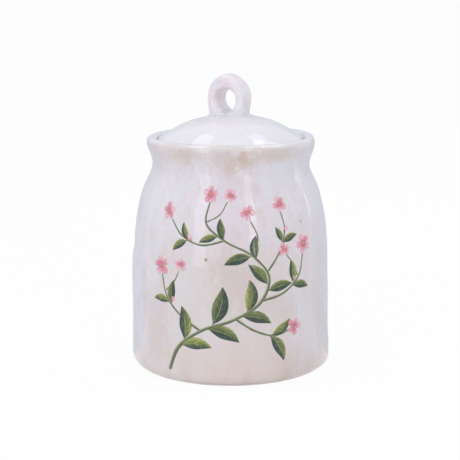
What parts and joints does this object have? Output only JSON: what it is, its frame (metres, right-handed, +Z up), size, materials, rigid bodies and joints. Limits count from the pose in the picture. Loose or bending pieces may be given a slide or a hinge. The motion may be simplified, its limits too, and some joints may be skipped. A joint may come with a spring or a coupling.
{
  "type": "storage jar",
  "caption": "Round glazed ceramic storage jar with a full belly, drawn-in neck and flared lip, and a domed lift-off lid with a loop handle and a seal ring.",
  "frame": {"origin": "centre of the foot ring, on the surface that the jar stands on", "axes": "+Z up along the jar's axis, -Y towards the painted front, +X to the viewer's right"},
  "size_m": [0.1306, 0.1306, 0.1918],
  "materials": {
    "glaze": "gloss",
    "seal": "satin"
  },
  "bodies": {
    "jar": {"jar_body": "glaze"},
    "seal": {"lid_seal": "seal"},
    "lid": {"lid": "glaze", "lid_handle": "glaze"}
  },
  "joints": [
    {"name": "lid_lift", "type": "slide", "parent": "jar", "child": "seal", "axis": [0, 0, 1], "range_m": [0, 0.12]},
    {"name": "lid_turn", "type": "hinge", "parent": "seal", "child": "lid", "pos_m": [0, 0, 0.145], "axis": [0, 0, 1], "continuous": true}
  ]
}
